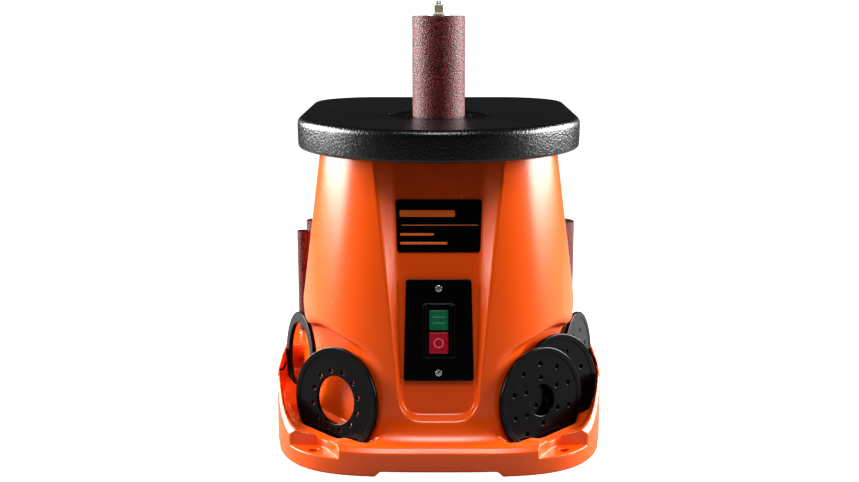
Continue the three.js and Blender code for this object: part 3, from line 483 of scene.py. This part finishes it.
def body_skin(x, y, z):
    """The outside of base and tower with every hollow cut in, open above and below."""
    ax = np.abs(x)
    wall = oval(x, y - 35, 169.7, 204.7, 3.8)
    mast = tower(x, y, z)
    foot = tower(x, y, 60.0 + 0 * z)
    edge = np.maximum(-wall, 0)
    share = edge / (edge + np.maximum(foot, 0) + 1e-3)
    fall = 1 - smin(smax((share - 0.15) / 0.2, 0 * share, 0.12), 1 + 0 * share, 0.6)
    rim, shelf = rim_height(y), shelf_height(y)
    height = shelf + (rim - shelf) * fall
    front = smooth((30 - y) / 90)
    height = height - (0.4 + 0.5 * front) * np.maximum(wall + 3 + 3.5 * front, 0)
    low = smax(wall, (z - height) * 0.86, 1.4)
    flare = 7 + 17 * smooth((-85 - y) / 50)
    skin = smax(smin(low, mast, flare), wall + 0.1, 1.0)
    boss = slab(np.hypot(x, z - PORT_Z) - 33, y, 120, 178, 2.5)
    skin = smin(skin, boss, 7.0)
    floor_y = PANEL_TOP_Y - PANEL_SLOPE * (PANEL_TOP_Z - z)
    t = np.clip((floor_y - y) / 11, -0.6, 2.2)
    half = 35.9 + 0.031 * (z - 64)
    mouth = 36.2 + 0.1 * (z - 43)
    side = ax - (half + (mouth - half) * np.minimum(t, 1.1))
    under = (54 - 4.5 * t - z) * 0.92
    recess = smax(smax(side * 0.93, under, 19.0), (y - floor_y) * 0.987, 2.2)
    skin = smax(skin, -recess, 2.0)
    for sx, sy, sz, turn, lean, behind, rise in SLOTS:
        a, b = math.radians(turn), math.radians(lean)
        s, c = math.sin(a), math.cos(a)
        dx, dy, dz = ax - sx, y - sy, z - sz
        u = dx * c + dy * s
        v = -dx * s * math.sin(b) + dy * c * math.sin(b) + dz * math.cos(b)
        n = dx * s * math.cos(b) - dy * c * math.cos(b) + dz * math.sin(b)
        lifted = v - np.clip(v, 0, rise)
        scoop = smax(np.hypot(u, lifted) - 56.7, -(n + 2.4 + behind), 5.0)
        scoop = smax(smax(smax(scoop, shelf - z, 3.0), mast - 7.0, 2.0), wall + 1.5, 0.6)
        skin = smax(skin, -scoop, 7.0 if behind < 2 else 13.0)
        groove = smax(smax(np.hypot(u, v) - 53.7, np.abs(n) - 3.2, 0.6), wall + 1.5, 0.6)
        skin = smax(skin, -groove, 1.0)
    corner = smax(pocket(ax, y), 18 - z, 2.0)
    skin = smax(skin, -corner, 1.0)
    rear_pocket = np.where(y < 214, np.hypot(ax - 34, y - 214), np.abs(ax - 34)) - 13
    skin = smax(skin, -smax(rear_pocket, 18 - z, 3.0), 2.4)
    return skin, mast


def housing(x, y, z):
    ax = np.abs(x)
    skin, mast = body_skin(x, y, z)
    solid = smax(smax(skin, 1.5 - z, 1.6), z - TOWER_TOP, 1.2)
    pegs = None
    for px, py, outer in PEGS.values():
        r = np.hypot(x - px, y - py)
        one = smin(slab(r - outer + 1, z, 60, 79, 0.8), slab(r - 6, z, 60, 150, 1.5), 1.6)
        pegs = one if pegs is None else np.minimum(pegs, one)
    solid = smin(solid, pegs, 1.8)
    posts = np.minimum(np.hypot(ax - 122, y + 139) - 10, np.hypot(ax - 34, y - 214) - 10)
    posts = np.minimum(posts, np.minimum(np.hypot(ax - 88, y + 148), np.hypot(ax - 130, y - 182)) - 14)
    hollow = smax(smax(skin + 5.2, z - 315, 2.0), -posts, 2.0)
    opening = smax(mast + 18, 300 - z, 1.0)
    solid = smax(solid, -np.minimum(hollow, opening), 0.8)
    skirt = smax(z - 6.5, ax - (63 - z), 1.0)
    sides = smax(z - 6.5, np.abs(y - 22.5) - (116.5 - z), 1.0)
    solid = smax(solid, -np.minimum(skirt, sides), 1.2)
    bolts = np.minimum(np.hypot(ax - 122, y + 139), np.hypot(ax - 34, y - 214)) - 4.5
    solid = smax(solid, -smax(bolts, z - 40, 1.0), 1.0)
    seats = np.minimum(np.hypot(ax - 88, y + 148), np.hypot(ax - 130, y - 182)) - 11.3
    solid = smax(solid, -smax(seats, z - 4.5, 0.5), 0.6)
    solid = smax(solid, -smax(np.hypot(x, z - PORT_Z) - 22.5, 135 - y, 1.0), 0.8)
    solid = smax(solid, -smax(np.hypot(x, z - GLAND_Z) - 8.3, 135 - y, 1.0), 0.8)
    ly = (y - PANEL_Y) * math.sin(TILT) + (z - PANEL_CENTRE_Z) * math.cos(TILT)
    lz = -(y - PANEL_Y) * math.cos(TILT) + (z - PANEL_CENTRE_Z) * math.sin(TILT)
    cut = smax(box2(x, ly, 25, 36, 2), np.abs(lz + 10) - 22, 0.5)
    return smax(solid, -cut, 0.6)


field_piece("moulded_housing", housing, (-170, -170, 1), (170, 240, 324), HOUSING_CELL,
            "machine", ORANGE, ["housing"])


# ------------------------------------------------------------------ table and inserts

def outline(inset, z):
    """The table's outline, half round in front and square with round corners behind."""
    pts = []
    radius, corner = 146.0 - inset, 70.0 - inset

    def arc(cx, cy, r, a0, a1, n):
        for i in range(n):
            a = math.radians(a0 + (a1 - a0) * i / n)
            pts.append((cx + r * math.cos(a), cy + r * math.sin(a), z))

    def line(x0, y0, x1, y1, n):
        for i in range(n):
            pts.append((x0 + (x1 - x0) * i / n, y0 + (y1 - y0) * i / n, z))

    arc(0, 0, radius, 180, 360, 96)
    line(radius, 0, radius, 152, 20)
    arc(76, 152, corner, 0, 90, 24)
    line(76, 222 - inset, -76, 222 - inset, 20)
    arc(-76, 152, corner, 90, 180, 24)
    line(-radius, 152, -radius, 0, 20)
    return pts


def ring_like(pts, radius, z):
    return [(radius * x / math.hypot(x, y), radius * y / math.hypot(x, y), z) for x, y, _ in pts]


def table_piece():
    rings = []
    base = outline(20, 0)
    for r, z in ((44.9, 324.8), (45.4, 324.2), (47, 324)):
        rings.append(ring_like(base, r, z))
    for i, z in ((30, 324), (12, 324), (9.8, 323.4), (9, 321),
                 (9, 303.5), (8.2, 301.8), (7, 301.1), (4.6, 301)):
        rings.append(outline(i, z))
    for k in range(7):
        a = math.radians(k * 15)
        rings.append(outline(3.4 - 3.0 * math.sin(a), 304.4 - 3.4 * math.cos(a)))
    rings.append(outline(0.1, 313))
    rings.append(outline(0.0, 322))
    for k in range(9):
        a = math.radians(k * 11.25)
        rings.append(outline(6.5 - 6.5 * math.cos(a), 325.5 + 6.5 * math.sin(a)))
    rings.append(outline(9, 332))
    rings.append(outline(24, 332))
    for share in (0.4, 0.7, 0.9):
        a, b = outline(24, 332), ring_like(base, 56, 332)
        rings.append([tuple(p + (q - p) * share for p, q in zip(u, v)) for u, v in zip(a, b)])
    for r, z in ((56, 332), (54.3, 332), (53.6, 331.8), (53.3, 331.2), (53.2, 330.5),
                 (53.2, 327.1), (53.0, 326.9), (46.2, 326.9), (45.3, 326.7), (45, 326.2)):
        rings.append(ring_like(base, r, z))
    count = len(rings[0])
    points = [p for ring in rings for p in ring]
    faces = []
    for i in range(len(rings)):
        k = (i + 1) % len(rings)
        for j in range(count):
            m = (j + 1) % count
            faces.append((i * count + j, i * count + m, k * count + m, k * count + j))
    obj = mesh_piece("table_casting", points, faces, "machine", TABLE_FINISH, ["table"])
    obj.modifiers.new("edges", "WEIGHTED_NORMAL")


table_piece()

# Each insert, by the size of its drum: the radius of its hole, and its rings of small holes
# as (count, ring radius, hole radius).
INSERTS = {
    13: (8.5, [(6, 16, 2.2), (8, 33, 2.2)]),
    19: (11.5, [(6, 20, 2.2), (8, 35, 2.2)]),
    26: (15.5, [(6, 23, 2.2), (10, 37, 2.2)]),
    38: (24, [(12, 29.5, 2.1)]),
    51: (28.8, [(12, 36, 2.2)]),
    76: (41.5, []),
}


def insert_field(size):
    hole, rings = INSERTS[size]

    def field(x, y, z):
        r = np.hypot(x, y)
        a = np.arctan2(y, x)
        flat = smax(r - 52.6, hole - r, 0.2)
        top = 2.3 + 0 * z
        if hole < 40:
            top = top - 0.6 * smooth((47.4 - r) / 1.3)
        d = smax(smax(flat, z - top, 1.2), -2.3 - z, 1.0)
        for count, radius, hole_radius in rings:
            step = 2 * math.pi / count
            b = (a - step / 2) - step * np.round((a - step / 2) / step)
            d = smax(d, hole_radius - np.hypot(r * np.cos(b) - radius, r * np.sin(b)), 0.5)
        return d

    return field


def insert_piece(size, basis, body, node):
    field_piece("insert_plate_%d" % size, insert_field(size), (-53, -53, -2.5), (53, 53, 3),
                INSERT_CELL, body, BLACK, [node], basis)


insert_piece(51, ((0, 0, 329.6), (1, 0, 0), (0, 1, 0), (0, 0, 1)), "table_insert", "table_insert_51")
for size, slot, side in ((38, 0, -1), (76, 2, -1), (26, 0, 1), (19, 1, 1), (13, 2, 1)):
    insert_piece(size, slot_basis(SLOTS[slot], side), "stored_insert_%d" % size, "insert_%d" % size)


# ------------------------------------------------------------------ control panel

def trapezoid(x, y, low, high, y0, y1, corner):
    half = low + (high - low) * (y - y0) / (y1 - y0)
    return box2(np.abs(x) - half + 200, y - (y0 + y1) / 2, 200, (y1 - y0) / 2, corner)


def switch_plate(x, y, z):
    plate = slab(trapezoid(x, y, 34.2, 31.7, -49, 50, 3), z, 0.3, 3.4, 1.0)
    fence = slab(box2(x, y, 15.4, 26, 1.5), z, 1, 4.6, 0.8)
    cheek = slab(box2(np.abs(x) - 13.5, y, 1.9, 26, 1.2), z, 1, 7.4, 1.2)
    solid = smin(smin(plate, fence, 1.2), cheek, 0.8)
    start = box2(x, y - 10.4, 9.7, 10.2, 0.6)
    stop = box2(x, y + 11.7, 9.7, 10.7, 0.6)
    solid = smax(solid, -np.minimum(start, stop), 0.5)
    holes = np.minimum(np.hypot(x, y - 41), np.hypot(x, y + 41))
    solid = smax(solid, -(holes - 2.2), 0.4)
    return smax(solid, -slab(holes - 3.7, z, 2.9, 9, 0.3), 0.4)


def start_button(x, y, z):
    ridge = 0.18 * np.cos(2 * math.pi * (y - 10.4) / 2.6)
    cap = slab(box2(x, y - 10.4, 9.3, 9.8, 0.8), z + ridge * 0.5, -8, 5.9, 0.9)
    flange = slab(box2(x, y - 10.4, 10.9, 9.6, 0.6), z, -2.2, -0.3, 0.3)
    return smin(cap, flange, 0.3)


def stop_button(x, y, z):
    cap = slab(box2(x, y + 11.7, 9.3, 10.3, 0.8), z, -8, 6.9, 0.9)
    flange = slab(box2(x, y + 11.7, 10.9, 10.1, 0.6), z, -2.2, -0.3, 0.3)
    return smin(cap, flange, 0.3)


def screw(y0):
    def field(x, y, z):
        r = np.hypot(x, y - y0)
        dome = slab(r - 3.3, z + 0.06 * r * r, 3.5, 5.6, 0.5)
        cross = np.minimum(box2(x, y - y0, 2.3, 0.45), box2(x, y - y0, 0.45, 2.3))
        dome = smax(dome, -slab(cross, z, 4.5, 9, 0.1), 0.2)
        return smin(dome, slab(r - 1.8, z, -9, 4, 0.4), 0.3)
    return field


field_piece("panel_plate", switch_plate, (-36, -51, 0), (36, 52, 8), PANEL_CELL + 0.1, "machine", PANEL_BLACK,
            ["switch_plate"], PANEL)
field_piece("green_push", start_button, (-11, -1, -8), (11, 21, 7), PANEL_CELL, "start_button", GREEN,
            ["start_button"], PANEL)
field_piece("red_push", stop_button, (-11, -23, -8), (11, 0, 8), PANEL_CELL, "stop_button", RED,
            ["stop_button"], PANEL)


def stop_ring(x, y, z):
    return slab(np.abs(np.hypot(x, y + 11.7) - 4.3) - 0.55, z, 6.2, 7.12, 0.3)


def start_lines(x, y, z):
    rows = np.minimum(np.abs(y - 13.4), np.abs(y - 7.6)) - 0.4
    return slab(smax(rows, np.abs(x) - 6.2, 0.3), z, 5.2, 6.12, 0.25)


field_piece("red_push_mark", stop_ring, (-6, -18, 6), (6, -6, 7.4), MARK_CELL, "stop_button",
            RED_MARK, (), PANEL)
field_piece("green_push_mark", start_lines, (-7, 6, 5), (7, 15, 6.4), MARK_CELL, "start_button",
            GREEN_MARK, (), PANEL)
for name, y0 in (("upper", 41), ("lower", -41)):
    field_piece("panel_screw_" + name, screw(y0), (-4, y0 - 4, -9), (4, y0 + 4, 6), MARK_CELL,
                "machine", STEEL, ["switch_screw_" + name], PANEL)


def label(x, y, z):
    return slab(trapezoid(x, y, 40.3, 41.8, 76, 127, 3), z, 0.3, 1.0, 0.3)


def label_shapes(x, y, z):
    rule = box2(x - 1, y - 102.3, 37, 0.45, 0.3)
    title = box2(x + 11, y - 113.6, 27, 3.4, 1.6)
    lines = np.minimum(box2(x + 21, y - 93.4, 16.5, 1.3, 0.9), box2(x + 14.5, y - 84.8, 23, 1.3, 0.9))
    return slab(np.minimum(np.minimum(rule, title), lines), z, 0.6, 1.14, 0.15)


field_piece("label_panel", label, (-43, 75, 0), (43, 128, 1.3), PANEL_CELL, "machine", LABEL_BLACK,
            ["label_plate"], PANEL)
field_piece("label_shapes", label_shapes, (-42, 80, 0.5), (42, 120, 1.3), LABEL_CELL, "machine",
            LABEL_LINE, (), PANEL)


# ------------------------------------------------------------------ spindle, drums, sleeves

# Each sleeve, by the size of its drum: outer radius and wall.
SLEEVES = {
    13: (7.4, 0.95),
    19: (10.7, 1.5),
    26: (14.3, 1.5),
    38: (20.4, 1.5),
    51: (27.2, 1.5),
    76: (39.6, 1.5),
}
SLEEVE_LENGTH = 114.3
DRUM_BOTTOM = 318.7
SPARE_BOTTOM = 79.3
BORE = 6.4


def box_profile(r0, r1, z0, z1):
    return [(r0, z0), (r1, z0), (r1, z1), (r0, z1)]


def sleeve_piece(size, x, y, z0, body):
    outer, wall = SLEEVES[size]
    profile = box_profile(outer - wall, outer - 0.1, z0, z0 + SLEEVE_LENGTH)
    lathe_piece("grit_sleeve_%d" % size, profile, (x, y, 0), body, GRIT, ["sleeve_%d" % size],
                0.35, 112)


def drum_piece(size, x, y, z0, body):
    outer, wall = SLEEVES[size]
    edge = outer - wall - 0.3
    low, high = z0 + 0.6, z0 + 113.7
    mid = 0.5 * (BORE + edge)
    profile = [
        (BORE, low), (edge, low), (edge, high), (mid + 3, high),
        (mid + 2, high - 1.0), (mid - 2, high - 1.0), (mid - 3, high), (BORE, high),
    ]
    if edge - BORE < 9:
        profile = box_profile(BORE, edge, low, high)
    lathe_piece("rubber_drum_%d" % size, profile, (x, y, 0), body, RUBBER, ["drum_%d" % size],
                0.8, 96)


sleeve_piece(51, 0, 0, DRUM_BOTTOM, "spindle")
drum_piece(51, 0, 0, DRUM_BOTTOM, "spindle")
for size, (px, py, _) in PEGS.items():
    sleeve_piece(size, px, py, SPARE_BOTTOM, "spare_%d" % size)
    if size in (38, 76):
        drum_piece(size, px, py, SPARE_BOTTOM, "spare_%d" % size)

THREAD_BOTTOM = 432.4
THREAD_PITCH = 1.2
shaft = [
    (0, 204.5), (6, 204.5), (6, 215.6), (7.5, 215.6), (7.5, 254.4), (6, 254.4), (6, 265.3),
    (7.5, 265.3), (7.5, 309), (10, 309), (10, 315.3), (6, 315.3), (6, 431.6),
]
for i in range(12):
    z = THREAD_BOTTOM + THREAD_PITCH * i
    shaft += [(4.7, z), (4.15, z + 0.6)]
shaft += [(4.4, 447.0), (3.7, 447.95), (0, 447.95)]
lathe_piece("spindle_shaft", shaft, (0, 0, 0), "spindle", STEEL, [], 0.25, 64)


def hex_shank(x, y, z):
    across = np.maximum(np.abs(y), np.abs(y) * 0.5 + np.abs(x) * 0.866) - 5.15
    return slab(across, z, 104, 205, 0.6)


field_piece("spindle_hex", hex_shank, (-7, -7, 103), (7, 7, 206), SHANK_CELL, "spindle", STEEL,
            ["spindle"])


NUT_Z = 440.4


def nut(x, y, z):
    r = np.hypot(x, y)
    across = np.maximum(np.abs(y), np.abs(y) * 0.5 + np.abs(x) * 0.866) - 8.45
    hexagon = smax(across, np.abs(z - NUT_Z) - 4.2, 0.4)
    dome = smax(hexagon, (r - 8.2 + (np.abs(z - NUT_Z) - 4.2) * 1.7) * 0.5, 0.3)
    return smax(dome, 4.85 - r, 0.3)


field_piece("clamp_nut", nut, (-10, -10, 436), (10, 10, 445), NUT_CELL, "spindle", ZINC,
            ["spindle_nut"])
lathe_piece("top_washer", box_profile(5.1, 11.3, 433.3, 435.8), (0, 0, 0), "spindle", ZINC,
            ["washer_upper"], 0.5, 72)
lathe_piece("lower_washer", box_profile(BORE, 16, 315.7, 318.4), (0, 0, 0), "spindle", STEEL,
            ["washer_lower"], 0.4, 72)


# ------------------------------------------------------------------ back and underside

port = [
    (19, 158.3), (22, 158.3), (22, 178.3), (30.6, 178.3), (30.6, 182.3), (22, 182.3), (22, 186),
    (21.4, 188.5), (21.4, 209), (22.3, 210.5), (22.3, 214), (19, 214),
]
lathe_piece("dust_spigot", port, (0, 0, PORT_Z), "machine", BLACK, ["dust_port"],
            0.8, 96, "Y")
gland = [
    (3.5, 167.5), (10.3, 167.5), (10.3, 173.5), (8, 173.5), (8, 181), (9.6, 182), (9.6, 184),
    (8, 185), (8, 191.5), (5.6, 199.5), (3.5, 199.5),
]
lathe_piece("cord_entry", gland, (0, 0, GLAND_Z), "machine", RUBBER, ["cord_gland"],
            0.6, 64, "Y")

for name, (fx, fy) in zip(("front_left", "front_right", "rear_left", "rear_right"), FEET):
    foot = [(0, 0.8), (2.6, 0.8), (3.2, 0), (9.6, 0), (11, 1.4), (11, 4.2), (0, 4.2)]
    lathe_piece("rubber_foot_" + name, foot, (fx, fy, 0), "machine", RUBBER, ["foot_" + name],
                0.5, 48)


# ------------------------------------------------------------------ floor, light, camera

def area_light(name, place, target, width, height, power):
    lamp = bpy.data.lights.new(name, "AREA")
    lamp.shape = "RECTANGLE"
    lamp.size, lamp.size_y = width, height
    lamp.energy = power
    obj = bpy.data.objects.new(name, lamp)
    obj.location = place
    obj.rotation_euler = (Vector(target) - Vector(place)).to_track_quat("-Z", "Y").to_euler()
    bpy.context.scene.collection.objects.link(obj)


def glow(tree, strength):
    """Plain white light given off by a surface or by the world."""
    node = tree.nodes.new("ShaderNodeEmission")
    node.inputs["Strength"].default_value = strength
    return node.outputs["Emission"]


def shade_by_ray(tree, output, seen, lit):
    """What the camera sees directly gets the shader seen, and every other ray gets lit."""
    path = tree.nodes.new("ShaderNodeLightPath")
    choose = tree.nodes.new("ShaderNodeMixShader")
    tree.links.new(path.outputs["Is Camera Ray"], choose.inputs["Fac"])
    tree.links.new(lit, choose.inputs[1])
    tree.links.new(seen, choose.inputs[2])
    tree.links.new(choose.outputs["Shader"], output.inputs["Surface"])


REACH = 6.0
floor_mesh = bpy.data.meshes.new("pale_floor")
floor_corners = [(-REACH, -REACH, 0), (REACH, -REACH, 0), (REACH, REACH, 0), (-REACH, REACH, 0)]
floor_mesh.from_pydata(floor_corners, [], [(0, 1, 2, 3)])
floor = bpy.data.objects.new("pale_floor", floor_mesh)
bpy.context.scene.collection.objects.link(floor)
floor_paint = surface("floor_paint", (0.2, 0.2, 0.2), 0.8, tint=0.01, spots=3,
                      bump=[("noise", 60, 0.02, 0.0005)])
paint_tree = floor_paint.node_tree
paint = paint_tree.nodes["Principled BSDF"].outputs["BSDF"]
lifted = paint_tree.nodes.new("ShaderNodeAddShader")
paint_tree.links.new(paint, lifted.inputs[0])
paint_tree.links.new(glow(paint_tree, 0.97), lifted.inputs[1])
shade_by_ray(paint_tree, paint_tree.nodes["Material Output"], lifted.outputs["Shader"], paint)
floor.data.materials.append(floor_paint)
floor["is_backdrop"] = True

world = bpy.data.worlds.new("studio")
bpy.context.scene.world = world
world.use_nodes = True
world_tree = world.node_tree
ambient = world_tree.nodes["Background"]
ambient.inputs["Color"].default_value = (1, 1, 1, 1)
ambient.inputs["Strength"].default_value = 0.025
shade_by_ray(world_tree, world_tree.nodes["World Output"], glow(world_tree, 1.0),
             ambient.outputs["Background"])

for side in (-1, 1):
    area_light("soft_side", (side * 1.2, 0.24, 0.66), (0, 0.0, 0.32), 1.3, 0.8, 54)
area_light("soft_front", (0.0, -0.95, 1.8), (0, -0.06, 0.15), 0.8, 0.6, 15)

bpy.context.scene.view_settings.view_transform = "Standard"
bpy.context.scene.view_settings.look = "Medium High Contrast"

CAMERA_DISTANCE = 1.270
CAMERA_HEIGHT = 0.4588
CAMERA_TILT = 11.6
lens = bpy.data.cameras.new("camera")
lens.sensor_width = 36.0
lens.lens = 51.213
lens.shift_x = -0.0107
camera = bpy.data.objects.new("camera", lens)
camera.location = (0, AXIS_Y / 1000 - CAMERA_DISTANCE, CAMERA_HEIGHT)
camera.rotation_euler = (math.radians(90 - CAMERA_TILT), 0, 0)
bpy.context.scene.collection.objects.link(camera)
bpy.context.scene.camera = camera

low_high = [[list(map(float, corner)) for corner in box] for box in (CAD_BOX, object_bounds())]
